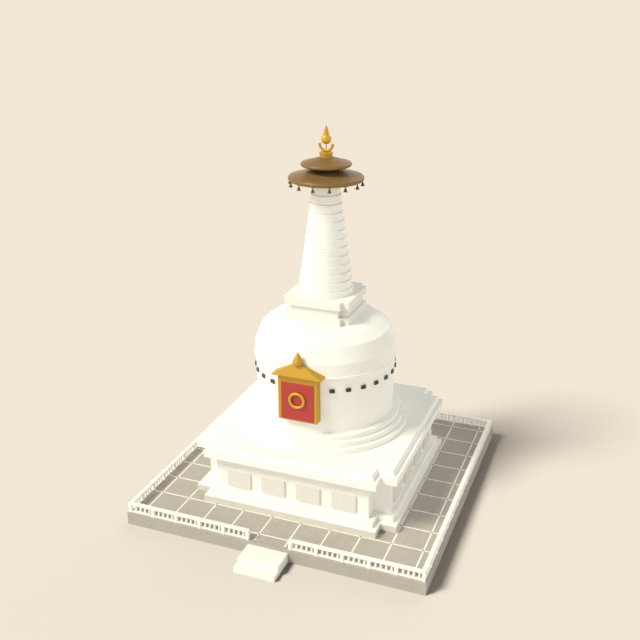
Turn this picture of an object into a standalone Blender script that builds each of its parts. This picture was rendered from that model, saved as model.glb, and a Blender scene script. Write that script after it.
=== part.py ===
"""White bottle-shaped stupa on a railed stone terrace, built at full size.

Metres, +Z up.  The origin is on the axis of the tower, at ground level, and
the stair and the gilt niche are on the -Y side.
"""
import math

import bmesh
import bpy
from mathutils import Vector

# Every piece stays this far from the piece that carries it.
GAP = 0.0003

# Terrace and stair.
TERRACE_HALF = 14.44
DECK_Z = 1.25
STAIR_HALF_WIDTH = 1.93
STAIR_FRONTS = (17.43, 16.55)
STAIR_TOPS = (0.53, 0.97)

# Balustrade on the edge of the terrace.
RAIL_OUTER = 14.29
RAIL_WIDTH = 0.24
RAIL_HEIGHT = 0.97
RAIL_LIFT = 0.02
SILL_HEIGHT = 0.16
CAP_HEIGHT = 0.19
CAP_OVERHANG = 0.03
POST_SIZE = 0.34
POST_RISE = 0.05
BALUSTER_RADIUS = 0.078
BALUSTER_SIDES = 4
BALUSTER_SINK = 0.05
RAIL_CORNER_INSET = 0.01
RAIL_GATE_INSET = 0.02
GATE_HALF_WIDTH = 1.92
FRONT_BAYS = 5
FRONT_BALUSTERS = 4
SIDE_BAYS = 14
SIDE_BALUSTERS = 3

# Square plinth with one set-back in every corner: ARM_OUT is the face of an
# arm, ARM_HALF its half width, both measured on the foot course.
ARM_OUT = 10.09
ARM_HALF = 8.60
FOOT_TOP = 1.96
MOULDING_INSET = 0.465
MOULDING_TOP = 2.50
WAIST_INSET = 1.00
WAIST_TOP = 6.04
CORNICE_INSET = 0.115
CORNICE_TOP = 6.755
UPPER_SLAB_INSET = 0.45
UPPER_SLAB_TOP_INSET = 0.64
UPPER_SLAB_TOP = 7.26
PLATE_COUNT = 4
PLATE_WIDTH = 2.36
PLATE_PITCH = 3.49
PLATE_BOTTOM = 2.97
PLATE_TOP = 4.63
PLATE_PROUD = 0.17
PLATE_ROOT = 0.3

# Three round courses under the drum.
ROUND_SIDES = 48
COURSE_RADII = (8.10, 7.70, 7.29)
COURSE_TOPS = (7.78, 8.28, 8.78)

# Drum and dome, as (radius, height) from the bottom up.
DRUM_PROFILE = ((6.60, 8.78), (6.68, 11.7), (6.76, 14.38))
SHOULDER_PROFILE = ((6.91, 14.38), (6.91, 14.50), (6.84, 14.54), (6.76, 15.71), (6.15, 17.15))
DOME_PROFILE = ((6.15, 17.15), (5.52, 17.65), (5.12, 17.92), (4.70, 18.12), (4.05, 18.25), (3.30, 18.30))
VENT_COUNT = 28
VENT_Z = 13.14
VENT_WIDTH = 0.46
VENT_HEIGHT = 0.34
VENT_REACH = 6.88
VENT_ROOT = 6.30
NICHE_CLEAR_DEG = 20

# Gilt niche on the front of the drum.
NICHE_HALF = 1.917
NICHE_BOTTOM = 10.07
NICHE_TOP = 14.555
NICHE_FRONT = 7.245
NICHE_BACK = 6.00
PANEL_HALF = 1.575
PANEL_BOTTOM = 10.215
PANEL_TOP = 13.90
PANEL_THICK = 0.165
NICHE_RING_Z = 12.27
NICHE_RING_RADIUS = 0.683
NICHE_RING_TUBE = 0.128
NICHE_RING_STEPS = 20
TUBE_SIDES = 8
ROOF_HALF = 2.41
ROOF_FRONT = 7.553
ROOF_BACK = 6.43
ROOF_EDGE = 0.08
ROOF_APEX_Z = 15.94
ROOF_FLAT_Z = 15.70
SPIKE_Y = 7.06
SPIKE_RADIUS = 0.535
SPIKE_TOP = 16.99
SPIKE_SIDES = 16
SPIKE_SHAPE = ((0.35, 0.74), (0.7, 0.36), (0.97, 0.06))
TIP_RADIUS = 0.012

# Stepped square block between the dome and the spire.
BLOCK_OUT = 3.21
BLOCK_HALF = 2.57
BLOCK_BASE_BOTTOM = 17.75
BLOCK_BASE_TOP = 18.94
BLOCK_WAIST_INSET = 0.32
BLOCK_WAIST_TOP = 19.75
BLOCK_TOP = 20.45

# Thirteen diminishing rings.
SPIRE_SIDES = 36
SPIRE_RINGS = 13
SPIRE_FIRST_TOP = 21.04
SPIRE_PITCH = 0.7955
SPIRE_BOTTOM_RADIUS = 2.57
SPIRE_TOP_RADIUS = 1.28
NECK_RADIUS = 1.20
NECK_TOP = 31.00

# Two bronze canopies.
CANOPY_SIDES = 42
LOWER_RADIUS = 3.49
LOWER_RIM = 0.22
LOWER_NECK_RADIUS = 1.25
LOWER_CONE_TOP = 31.96
LOWER_TOP = 32.31
UPPER_RADIUS = 2.34
UPPER_RIM = 0.165
UPPER_CONE_TOP = 33.10
UPPER_FLAT_RADIUS = 0.60

# Bells under the rim of the lower canopy.
BELL_COUNT = 14
BELL_SIDES = 8
BELL_PATH_RADIUS = 3.32
BELL_RADIUS = 0.19
BELL_WALL = 0.028
BELL_HEIGHT = 0.31
HINGE_DROP = 0.06
BAR_RADIUS = 0.020
LOOP_CLEARANCE = 0.0005
LOOP_WALL = 0.026
LOOP_THICK = 0.024
LOOP_SIDES = 6
BELL_SHAPE = ((0.30, 0.0), (0.56, 0.22), (0.74, 0.66), (1.0, 1.0))
STAPLE_HALF = 0.075
STAPLE_LEG = 0.03
STAPLE_SINK = 0.06
LOOP_SINK = 0.006
BELL_CROWN_THICK = 0.14

# Gilt finial.
COLLAR_RADIUS = 0.565
COLLAR_RING_RADIUS = 0.62
COLLAR_MID = 33.36
COLLAR_TOP = 33.55
COLLAR_BEVEL = 0.03
COLLAR_SIDES = 20
MOON_RADIUS = 0.63
MOON_TUBE = 0.122
MOON_STEPS = 11
STEM_RADIUS = 0.058
SUN_RADIUS = 0.468
SUN_Z = 34.70
SUN_SIDES = 18
SUN_STEPS = 7
FLAME_BASE_RADIUS = 0.27
FLAME_TOP = 35.90
FLAME_SIDES = 16
FLAME_SHAPE = ((0.25, 0.84), (0.5, 0.66), (0.75, 0.44), (0.94, 0.20))

WHITEWASH = (0.86, 0.84, 0.80)
GREY_STONE = (0.46, 0.43, 0.38)
PALE_STONE = (0.78, 0.76, 0.71)
GILT = (0.80, 0.52, 0.12)
RED_LACQUER = (0.55, 0.05, 0.04)
BRONZE = (0.30, 0.19, 0.09)


def clear_scene():
    for obj in list(bpy.data.objects):
        bpy.data.objects.remove(obj, do_unlink=True)


def make_material(name, colour, roughness, metallic):
    material = bpy.data.materials.new(name)
    material.use_nodes = True
    shader = material.node_tree.nodes["Principled BSDF"]
    shader.inputs["Base Color"].default_value = (*colour, 1.0)
    shader.inputs["Roughness"].default_value = roughness
    shader.inputs["Metallic"].default_value = metallic
    return material


def add_object(name, vertices, faces, material, smooth=False):
    mesh = bpy.data.meshes.new(name)
    mesh.from_pydata([tuple(v) for v in vertices], [], faces)
    mesh.validate()
    bm = bmesh.new()
    bm.from_mesh(mesh)
    bmesh.ops.recalc_face_normals(bm, faces=bm.faces)
    bm.to_mesh(mesh)
    bm.free()
    if smooth:
        mesh.shade_smooth()
        mesh.set_sharp_from_angle(angle=math.radians(35))
    obj = bpy.data.objects.new(name, mesh)
    bpy.context.scene.collection.objects.link(obj)
    if material is not None:
        mesh.materials.append(material)
    return obj


def stack_rings(rings):
    """Vertices and faces of a closed body through rings of equal length."""
    count = len(rings[0])
    vertices = [point for ring in rings for point in ring]
    faces = []
    for level in range(len(rings) - 1):
        low = level * count
        high = low + count
        for i in range(count):
            j = (i + 1) % count
            faces.append((low + i, low + j, high + j, high + i))
    faces.append(tuple(range(count - 1, -1, -1)))
    top = (len(rings) - 1) * count
    faces.append(tuple(range(top, top + count)))
    return vertices, faces


def circle(radius, z, sides, turn=0.5):
    points = []
    for i in range(sides):
        angle = 2 * math.pi * (i + turn) / sides
        points.append((radius * math.cos(angle), radius * math.sin(angle), z))
    return points


def turned(name, profile, sides, material, smooth=True):
    rings = [circle(radius, z, sides) for radius, z in profile]
    vertices, faces = stack_rings(rings)
    return add_object(name, vertices, faces, material, smooth)


def stepped_outline(out, half, z):
    """Square outline with one set-back in every corner, counter-clockwise."""
    quarter = [(out, -half), (out, half), (half, half)]
    points = []
    for turn in range(4):
        for x, y in quarter:
            for _ in range(turn):
                x, y = -y, x
            points.append((x, y, z))
    return points


def stepped_block(name, levels, material):
    """levels holds (inset, z) pairs, the inset measured from the foot."""
    rings = [stepped_outline(ARM_OUT - inset, ARM_HALF - inset, z) for inset, z in levels]
    vertices, faces = stack_rings(rings)
    return add_object(name, vertices, faces, material)


def box_mesh(low, high):
    x0, y0, z0 = low
    x1, y1, z1 = high
    corners = ((x0, y0), (x1, y0), (x1, y1), (x0, y1))
    return stack_rings([[(x, y, z) for x, y in corners] for z in (z0, z1)])


def box(name, low, high, material):
    return add_object(name, *box_mesh(low, high), material)


def merge_meshes(parts):
    vertices = []
    faces = []
    for part_vertices, part_faces in parts:
        start = len(vertices)
        vertices.extend(part_vertices)
        faces.extend([tuple(start + i for i in face) for face in part_faces])
    return vertices, faces


def make_tool(name, parts):
    """A hidden helper body for a Boolean."""
    vertices, faces = merge_meshes(parts)
    tool = add_object(name, vertices, faces, None)
    tool.hide_render = True
    tool.display_type = "WIRE"
    return tool


def boolean(obj, tool, operation):
    modifier = obj.modifiers.new(operation.title(), "BOOLEAN")
    modifier.operation = operation
    modifier.solver = "EXACT"
    modifier.object = tool
    return modifier


def move_points(mesh_data, matrix_function):
    vertices, faces = mesh_data
    return [matrix_function(Vector(v)) for v in vertices], faces


def around(angle, radius):
    """Turn local X outwards at the given angle and move out by radius."""
    cos_a = math.cos(angle)
    sin_a = math.sin(angle)

    def place(v):
        x = v.x + radius
        return (x * cos_a - v.y * sin_a, x * sin_a + v.y * cos_a, v.z)
    return place


def build_terrace(stone, white):
    box("terrace", (-TERRACE_HALF, -TERRACE_HALF, 0), (TERRACE_HALF, TERRACE_HALF, DECK_Z), stone)
    backs = (STAIR_FRONTS[1], TERRACE_HALF)
    for i, (front, back, top) in enumerate(zip(STAIR_FRONTS, backs, STAIR_TOPS)):
        low = (-STAIR_HALF_WIDTH, -front, 0)
        high = (STAIR_HALF_WIDTH, -back - GAP, top)
        box(f"stair_step_{i + 1}", low, high, white)


def balustrade(name, span, posts, bays, balusters, place, stone, end_posts=True):
    """One run along local X over span, its post centres spread over posts, moved by place."""
    start, end = span
    deck = DECK_Z + GAP
    middle = RAIL_OUTER - RAIL_WIDTH / 2
    half = RAIL_WIDTH / 2
    sill_top = deck + RAIL_LIFT + SILL_HEIGHT
    cap_low = deck + RAIL_HEIGHT - CAP_HEIGHT
    cap_half = half + CAP_OVERHANG
    rails = merge_meshes([
        box_mesh((start, -middle - half, deck + RAIL_LIFT), (end, -middle + half, sill_top)),
        box_mesh((start, -middle - cap_half, cap_low), (end, -middle + cap_half, deck + RAIL_HEIGHT)),
    ])
    uprights = []
    pitch = (posts[1] - posts[0]) / bays
    post_half = POST_SIZE / 2
    for bay in range(bays + 1):
        x = posts[0] + bay * pitch
        if end_posts or 0 < bay < bays:
            low = (x - post_half, -middle - post_half, deck)
            high = (x + post_half, -middle + post_half, deck + RAIL_HEIGHT + POST_RISE)
            uprights.append(box_mesh(low, high))
        if bay == bays:
            continue
        clear = pitch - POST_SIZE
        for k in range(balusters):
            centre = x + post_half + clear * (k + 1) / (balusters + 1)
            rings = []
            for z in (sill_top - BALUSTER_SINK, cap_low + BALUSTER_SINK):
                ring = circle(BALUSTER_RADIUS, z, BALUSTER_SIDES)
                rings.append([(px + centre, py - middle, pz) for px, py, pz in ring])
            uprights.append(stack_rings(rings))
    vertices, faces = move_points(rails, place)
    obj = add_object(name, vertices, faces, stone)
    tool = make_tool(f"{name}_uprights", [move_points(part, place) for part in uprights])
    boolean(obj, tool, "UNION")
    return obj


def turn_by(quarters):
    def place(v):
        x, y = v.x, v.y
        for _ in range(quarters):
            x, y = -y, x
        return (x, y, v.z)
    return place


def build_balustrades(stone):
    corner = RAIL_OUTER - RAIL_WIDTH / 2
    outer = corner + POST_SIZE / 2 - RAIL_CORNER_INSET
    gate = GATE_HALF_WIDTH + POST_SIZE / 2
    inner = gate - POST_SIZE / 2 + RAIL_GATE_INSET
    balustrade(
        "balustrade_front_left", (-outer, -inner), (-corner, -gate),
        FRONT_BAYS, FRONT_BALUSTERS, turn_by(0), stone)
    balustrade(
        "balustrade_front_right", (inner, outer), (gate, corner),
        FRONT_BAYS, FRONT_BALUSTERS, turn_by(0), stone)
    balustrade(
        "balustrade_back", (-outer, outer), (-corner, corner),
        SIDE_BAYS, SIDE_BALUSTERS, turn_by(2), stone)
    reach = corner - POST_SIZE / 2 - GAP
    for name, quarters in (("balustrade_right", 1), ("balustrade_left", 3)):
        balustrade(
            name, (-reach, reach), (-corner, corner),
            SIDE_BAYS, SIDE_BALUSTERS, turn_by(quarters), stone, end_posts=False)


def build_plinth(white):
    stepped_block("plinth_foot", [(0, DECK_Z + GAP), (0, FOOT_TOP)], white)
    stepped_block("plinth_moulding", [
        (MOULDING_INSET, FOOT_TOP + GAP),
        (MOULDING_INSET, MOULDING_TOP),
    ], white)
    waist = stepped_block("plinth_waist", [
        (WAIST_INSET, MOULDING_TOP + GAP),
        (WAIST_INSET, WAIST_TOP),
    ], white)
    plates = []
    face = ARM_OUT - WAIST_INSET
    for side in range(4):
        for k in range(PLATE_COUNT):
            x = (k - (PLATE_COUNT - 1) / 2) * PLATE_PITCH
            low = (x - PLATE_WIDTH / 2, -face - PLATE_PROUD, PLATE_BOTTOM)
            high = (x + PLATE_WIDTH / 2, -face + PLATE_ROOT, PLATE_TOP)
            plates.append(move_points(box_mesh(low, high), turn_by(side)))
    boolean(waist, make_tool("waist_plates", plates), "UNION")
    stepped_block("plinth_cornice", [
        (CORNICE_INSET, WAIST_TOP + GAP),
        (CORNICE_INSET, CORNICE_TOP),
    ], white)
    stepped_block("plinth_upper_slab", [
        (UPPER_SLAB_INSET, CORNICE_TOP + GAP),
        (UPPER_SLAB_TOP_INSET, UPPER_SLAB_TOP),
    ], white)


def lifted(profile):
    """The same profile with its lowest point raised by the gap."""
    (radius, z), *rest = profile
    return [(radius, z + GAP), *rest]


def grown(profile, extra):
    return [(radius + extra, z) for radius, z in profile]


def build_body(white):
    low = UPPER_SLAB_TOP
    for i, (radius, top) in enumerate(zip(COURSE_RADII, COURSE_TOPS)):
        turned(f"round_course_{i + 1}", [(radius, low + GAP), (radius, top)], ROUND_SIDES, white)
        low = top
    drum = turned("drum", lifted(DRUM_PROFILE), ROUND_SIDES, white)
    low = (VENT_ROOT, -VENT_WIDTH / 2, VENT_Z - VENT_HEIGHT / 2)
    high = (VENT_REACH, VENT_WIDTH / 2, VENT_Z + VENT_HEIGHT / 2)
    vents = []
    for k in range(VENT_COUNT):
        from_niche = 360 * k / VENT_COUNT
        if min(from_niche, 360 - from_niche) > NICHE_CLEAR_DEG:
            vents.append(move_points(box_mesh(low, high), around(math.radians(from_niche - 90), 0)))
    boolean(drum, make_tool("drum_vents", vents), "UNION")
    turned("shoulder_band", lifted(SHOULDER_PROFILE), ROUND_SIDES, white)
    turned("dome", lifted(DOME_PROFILE), ROUND_SIDES, white)


def body_tool(name):
    """The drum and dome together, grown by the gap, for seating what touches them."""
    drum = grown(DRUM_PROFILE, GAP)
    shoulder = grown(SHOULDER_PROFILE, GAP)
    dome = grown(DOME_PROFILE, GAP)
    top_radius, top_z = dome[-1]
    profile = drum[:-1]
    profile.append((drum[-1][0], drum[-1][1] - GAP))
    profile.append((shoulder[0][0], shoulder[0][1] - GAP))
    profile.extend(shoulder[1:])
    profile.extend(dome[1:-1])
    profile.append((top_radius, top_z + GAP))
    rings = [circle(radius, z, ROUND_SIDES) for radius, z in profile]
    return make_tool(name, [stack_rings(rings)])


def half_torus_rings(radius, tube, start, end, steps, sides):
    """Rings of a bent tube in the XZ plane, from angle start to angle end."""
    rings = []
    for i in range(steps + 1):
        angle = start + (end - start) * i / steps
        ring = []
        for j in range(sides):
            turn = 2 * math.pi * (j + 0.5) / sides
            reach = radius + tube * math.cos(turn)
            ring.append((reach * math.cos(angle), tube * math.sin(turn), reach * math.sin(angle)))
        rings.append(ring)
    return rings


def torus(name, centre, radius, tube, steps, sides, material):
    """A whole ring in the XZ plane."""
    rings = half_torus_rings(radius, tube, 0, 2 * math.pi, steps, sides)[:-1]
    vertices = [tuple(a + b for a, b in zip(point, centre)) for ring in rings for point in ring]
    faces = []
    for i in range(steps):
        for j in range(sides):
            a = i * sides + j
            b = i * sides + (j + 1) % sides
            c = ((i + 1) % steps) * sides + (j + 1) % sides
            d = ((i + 1) % steps) * sides + j
            faces.append((a, b, c, d))
    return add_object(name, vertices, faces, material, True)


def build_niche(gilt, red):
    body = body_tool("niche_seat")
    surround = box(
        "niche_surround",
        (-NICHE_HALF, -NICHE_FRONT, NICHE_BOTTOM),
        (NICHE_HALF, -NICHE_BACK, NICHE_TOP),
        gilt,
    )
    boolean(surround, body, "DIFFERENCE")
    panel_front = -NICHE_FRONT - GAP - PANEL_THICK
    box("niche_panel", (-PANEL_HALF, panel_front, PANEL_BOTTOM), (PANEL_HALF, -NICHE_FRONT - GAP, PANEL_TOP), red)
    tube_apothem = NICHE_RING_TUBE * math.cos(math.pi / TUBE_SIDES)
    centre = (0, panel_front - GAP - tube_apothem, NICHE_RING_Z)
    torus("niche_ring", centre, NICHE_RING_RADIUS, NICHE_RING_TUBE, NICHE_RING_STEPS, TUBE_SIDES, gilt)

    base = NICHE_TOP + GAP
    share = (ROOF_APEX_Z - ROOF_FLAT_Z) / (ROOF_APEX_Z - base - ROOF_EDGE)
    levels = [(1.0, base), (1.0, base + ROOF_EDGE), (share, ROOF_FLAT_Z)]
    rings = []
    for scale, z in levels:
        front = SPIKE_Y + (ROOF_FRONT - SPIKE_Y) * scale
        back = SPIKE_Y - (SPIKE_Y - ROOF_BACK) * scale
        half = ROOF_HALF * scale
        rings.append([(-half, -front, z), (half, -front, z), (half, -back, z), (-half, -back, z)])
    vertices, faces = stack_rings(rings)
    roof = add_object("niche_roof", vertices, faces, gilt)
    boolean(roof, body, "DIFFERENCE")

    rise = SPIKE_TOP - ROOF_FLAT_Z
    profile = [(SPIKE_RADIUS, ROOF_FLAT_Z + GAP)]
    for share_up, share_out in SPIKE_SHAPE:
        profile.append((SPIKE_RADIUS * share_out, ROOF_FLAT_Z + rise * share_up))
    profile.append((TIP_RADIUS, SPIKE_TOP))
    rings = []
    for radius, z in profile:
        rings.append([(x, y - SPIKE_Y, pz) for x, y, pz in circle(radius, z, SPIKE_SIDES)])
    vertices, faces = stack_rings(rings)
    spike = add_object("niche_spike", vertices, faces, gilt, True)
    boolean(spike, body, "DIFFERENCE")


def build_block(white):
    def ring(inset, z):
        return stepped_outline(BLOCK_OUT - inset, BLOCK_HALF - inset, z)
    base = add_object("block_base", *stack_rings([ring(0, BLOCK_BASE_BOTTOM), ring(0, BLOCK_BASE_TOP)]), white)
    boolean(base, body_tool("block_seat"), "DIFFERENCE")
    inset = BLOCK_WAIST_INSET
    add_object("block_waist", *stack_rings([
        ring(inset, BLOCK_BASE_TOP + GAP),
        ring(inset, BLOCK_WAIST_TOP),
    ]), white)
    add_object("block_cap", *stack_rings([ring(0, BLOCK_WAIST_TOP + GAP), ring(0, BLOCK_TOP)]), white)


def build_spire(white):
    """Thirteen rings, each set back on a flat ledge from the one below."""
    step = (SPIRE_BOTTOM_RADIUS - SPIRE_TOP_RADIUS) / (SPIRE_RINGS - 1)
    low = BLOCK_TOP + GAP
    profile = []
    for i in range(SPIRE_RINGS):
        top = SPIRE_FIRST_TOP + i * SPIRE_PITCH
        radius = SPIRE_BOTTOM_RADIUS - i * step
        profile.append((radius, low))
        profile.append((radius, top))
        low = top
    profile.append((NECK_RADIUS, low))
    profile.append((NECK_RADIUS, NECK_TOP))
    turned("spire_rings", profile, SPIRE_SIDES, white)


def rim_profile(radius, low, rim, cone_radius, cone_top):
    """A flat underside, a half-round rim and a shallow cone above it."""
    points = []
    for k in range(4):
        turn = math.radians(-90 + 60 * k)
        points.append((radius - rim + rim * math.cos(turn), low + rim + rim * math.sin(turn)))
    points.append((cone_radius, cone_top))
    return points


def bell_angle(k):
    return math.radians(-90) + 2 * math.pi * k / BELL_COUNT


def build_canopies(bronze):
    under = NECK_TOP + GAP
    profile = rim_profile(LOWER_RADIUS, under, LOWER_RIM, LOWER_NECK_RADIUS, LOWER_CONE_TOP)
    profile.append((LOWER_NECK_RADIUS, LOWER_TOP))
    lower = turned("lower_canopy", profile, CANOPY_SIDES, bronze)
    hinge_z = under - HINGE_DROP
    staples = []
    for k in range(BELL_COUNT):
        place_out = around(bell_angle(k), BELL_PATH_RADIUS)
        for side in (-1, 1):
            y = side * STAPLE_HALF
            low = (-STAPLE_LEG / 2, y - STAPLE_LEG / 2, hinge_z - STAPLE_LEG / 2)
            high = (STAPLE_LEG / 2, y + STAPLE_LEG / 2, under + STAPLE_SINK)
            staples.append(move_points(box_mesh(low, high), place_out))
    legs = make_tool("bell_staple_legs", staples)
    boolean(lower, legs, "UNION")
    bars = []
    for k in range(BELL_COUNT):
        rings = []
        for y in (-STAPLE_HALF, STAPLE_HALF):
            ring = []
            for j in range(LOOP_SIDES):
                turn = 2 * math.pi * j / LOOP_SIDES
                ring.append((BAR_RADIUS * math.cos(turn), y, hinge_z + BAR_RADIUS * math.sin(turn)))
            rings.append(ring)
        bars.append(move_points(stack_rings(rings), around(bell_angle(k), BELL_PATH_RADIUS)))
    boolean(lower, make_tool("bell_staple_bars", bars), "UNION")

    low = LOWER_TOP + GAP
    profile = rim_profile(UPPER_RADIUS, low, UPPER_RIM, UPPER_FLAT_RADIUS, UPPER_CONE_TOP)
    turned("upper_canopy", profile, CANOPY_SIDES, bronze)


def loop_mesh(inner, outer, thick, sides):
    """A flat ring round the local Y axis."""
    vertices = []
    for y in (-thick / 2, thick / 2):
        for radius in (outer, inner):
            for j in range(sides):
                turn = 2 * math.pi * (j + 0.5) / sides
                vertices.append((radius * math.cos(turn), y, radius * math.sin(turn)))
    faces = []
    for j in range(sides):
        i = (j + 1) % sides
        faces.append((j, i, sides + i, sides + j))
        faces.append((2 * sides + i, 2 * sides + j, 3 * sides + j, 3 * sides + i))
        faces.append((i, j, 2 * sides + j, 2 * sides + i))
        faces.append((sides + j, sides + i, 3 * sides + i, 3 * sides + j))
    return vertices, faces


def build_bells(bronze):
    """Hollow bells, each with its origin on the bar that it swings on."""
    hinge_z = NECK_TOP + GAP - HINGE_DROP
    inner = (BAR_RADIUS + LOOP_CLEARANCE) / math.cos(math.pi / LOOP_SIDES)
    outer = inner + LOOP_WALL
    crown = -outer * math.cos(math.pi / LOOP_SIDES) + LOOP_SINK
    outside = [(BELL_RADIUS * share, crown - drop * BELL_HEIGHT) for share, drop in BELL_SHAPE]
    inside = [(radius - BELL_WALL, z) for radius, z in reversed(outside[1:])]
    inside.append((BELL_WALL, crown - BELL_CROWN_THICK * BELL_HEIGHT))
    bell_mesh = stack_rings([circle(radius, z, BELL_SIDES) for radius, z in outside + inside])
    ring_mesh = loop_mesh(inner, outer, LOOP_THICK, LOOP_SIDES)
    for k in range(BELL_COUNT):
        name = f"bell_{k + 1:02d}"
        bell = add_object(name, *bell_mesh, bronze, True)
        loop = make_tool(f"{name}_loop", [ring_mesh])
        boolean(bell, loop, "UNION")
        angle = bell_angle(k)
        for obj in (bell, loop):
            obj.location = (BELL_PATH_RADIUS * math.cos(angle), BELL_PATH_RADIUS * math.sin(angle), hinge_z)
            obj.rotation_euler = (0, 0, angle)


def build_finial(gilt):
    turned("finial_collar", [
        (COLLAR_RADIUS, UPPER_CONE_TOP + GAP),
        (COLLAR_RADIUS, COLLAR_MID),
        (COLLAR_RING_RADIUS, COLLAR_MID + COLLAR_BEVEL),
        (COLLAR_RING_RADIUS, COLLAR_TOP - COLLAR_BEVEL),
        (COLLAR_RADIUS, COLLAR_TOP),
    ], COLLAR_SIDES, gilt)
    flat = math.cos(math.pi / (2 * MOON_STEPS))
    tube = MOON_TUBE * math.cos(math.pi / TUBE_SIDES)
    moon_z = COLLAR_TOP + GAP + (MOON_RADIUS + tube) * flat
    rings = half_torus_rings(MOON_RADIUS, MOON_TUBE, math.pi, 2 * math.pi, MOON_STEPS, TUBE_SIDES)
    rings = [[(x, y, z + moon_z) for x, y, z in ring] for ring in rings]
    vertices, faces = stack_rings(rings)
    add_object("finial_moon", vertices, faces, gilt, True)

    inner_bottom = moon_z - (MOON_RADIUS - tube) * flat
    flat_z = SUN_Z + math.sqrt(SUN_RADIUS ** 2 - FLAME_BASE_RADIUS ** 2)
    start = -math.acos(STEM_RADIUS / SUN_RADIUS)
    end = math.acos(FLAME_BASE_RADIUS / SUN_RADIUS)
    profile = [(STEM_RADIUS, inner_bottom + GAP)]
    for i in range(SUN_STEPS + 1):
        turn = start + (end - start) * i / SUN_STEPS
        profile.append((SUN_RADIUS * math.cos(turn), SUN_Z + SUN_RADIUS * math.sin(turn)))
    turned("finial_sun", profile, SUN_SIDES, gilt)
    rise = FLAME_TOP - flat_z
    profile = [(FLAME_BASE_RADIUS, flat_z + GAP)]
    for up, out in FLAME_SHAPE:
        profile.append((FLAME_BASE_RADIUS * out, flat_z + rise * up))
    profile.append((TIP_RADIUS, FLAME_TOP))
    turned("finial_flame", profile, FLAME_SIDES, gilt)


def build():
    clear_scene()
    white = make_material("whitewash", WHITEWASH, 0.75, 0.0)
    grey = make_material("grey_stone", GREY_STONE, 0.85, 0.0)
    pale = make_material("pale_stone", PALE_STONE, 0.8, 0.0)
    gilt = make_material("gilt_metal", GILT, 0.3, 1.0)
    red = make_material("red_lacquer", RED_LACQUER, 0.5, 0.0)
    bronze = make_material("dark_bronze", BRONZE, 0.45, 0.8)
    build_terrace(grey, pale)
    build_balustrades(pale)
    build_plinth(white)
    build_body(white)
    build_niche(gilt, red)
    build_block(white)
    build_spire(white)
    build_canopies(bronze)
    build_bells(bronze)
    build_finial(gilt)


build()
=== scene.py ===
"""Looks of the white stupa: lime-washed masonry, carved rails, gilt niche and bronze canopies.

Metres, +Z up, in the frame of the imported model: the origin is on the axis of
the tower at ground level, and the stair and the gilt niche are on the -Y side.
"""
import math

import bmesh
import bpy
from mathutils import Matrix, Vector


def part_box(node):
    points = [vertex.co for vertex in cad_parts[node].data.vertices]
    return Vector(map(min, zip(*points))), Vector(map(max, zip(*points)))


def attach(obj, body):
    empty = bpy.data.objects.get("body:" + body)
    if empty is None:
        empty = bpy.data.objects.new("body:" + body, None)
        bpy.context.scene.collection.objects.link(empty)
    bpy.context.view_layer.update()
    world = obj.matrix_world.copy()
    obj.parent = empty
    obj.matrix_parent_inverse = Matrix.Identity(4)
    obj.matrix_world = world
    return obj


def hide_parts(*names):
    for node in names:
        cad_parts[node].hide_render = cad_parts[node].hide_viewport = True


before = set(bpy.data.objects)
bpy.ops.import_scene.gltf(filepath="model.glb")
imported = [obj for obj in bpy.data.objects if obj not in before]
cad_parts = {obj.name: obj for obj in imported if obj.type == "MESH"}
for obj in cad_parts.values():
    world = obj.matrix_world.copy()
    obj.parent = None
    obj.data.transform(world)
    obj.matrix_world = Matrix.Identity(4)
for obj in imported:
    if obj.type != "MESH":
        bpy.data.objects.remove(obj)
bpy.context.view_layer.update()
TOWER = "tower"
FRONT_DEG = -90            # the front faces -Y
FINE_EDGE = 0.012
SOFT_EDGE = 0.035
CORNER_SHARE = 0.45        # a rounded corner takes at most this share of the edges beside it
SHARP_DEG = 32             # faces that meet at a wider angle are shaded apart

# Camera that was fitted to the photo, and the light.
CAMERA_PLACE = (27.950, -74.075, 48.823)
CAMERA_TILT_DEG = 68.356
CAMERA_TURN_DEG = 21.072
CAMERA_LENS = 49.95
CAMERA_SENSOR = 36.0
CAMERA_REACH = 6000.0
# Each lamp is elevation and azimuth in degrees, strength, softness in degrees and colour.
KEY_LAMP = (48.0, 224.0, 2.72, 18.0, (1.0, 0.985, 0.80))
FILL_LAMP = (30.0, 72.0, 0.645, 40.0, (1.0, 0.97, 0.90))
FLOOR_LAMP = (48.0, 224.0, 10.64, 18.0, (0.935, 1.0, 1.02))
FLOOR_FILL_LAMP = (40.0, 92.0, 1.07, 50.0, (1.0, 1.0, 1.0))
HORIZON_COLOUR = (1.42, 1.42, 1.39)
ZENITH_COLOUR = (0.12, 0.12, 0.12)
FLOOR_COLOUR = (0.229, 0.200, 0.1687)
FLOOR_RADIUS = 3000.0
FLOOR_SIDES = 64

# Paving: narrow pale bands on a square grid, with pavers between them.
CELL = 2.905
CELL_LINES = 5
BAND_WIDTH = 0.16
BAND_REACH = 14.03
PAVERS_PER_CELL = 3
PAVER_JOINT = 0.006
PAVER_THICK = 0.05
PAVER_EDGE = 0.004
DECK_CLEAR = 9.9      # no paving this close to the axis, under the plinth

# Facing of the terrace and the stair.
KERB_WIDTH = 0.41
FACING_COURSES = (0.0, 0.46, 0.92, 1.25)
FACING_LENGTH = 1.20
FACING_JOINT = 0.005
FACING_EDGE = 0.010
MORTAR_SET_BACK = 0.012
CORE_LIFT = 0.004
STONES_PER_STEP = 3

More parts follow.
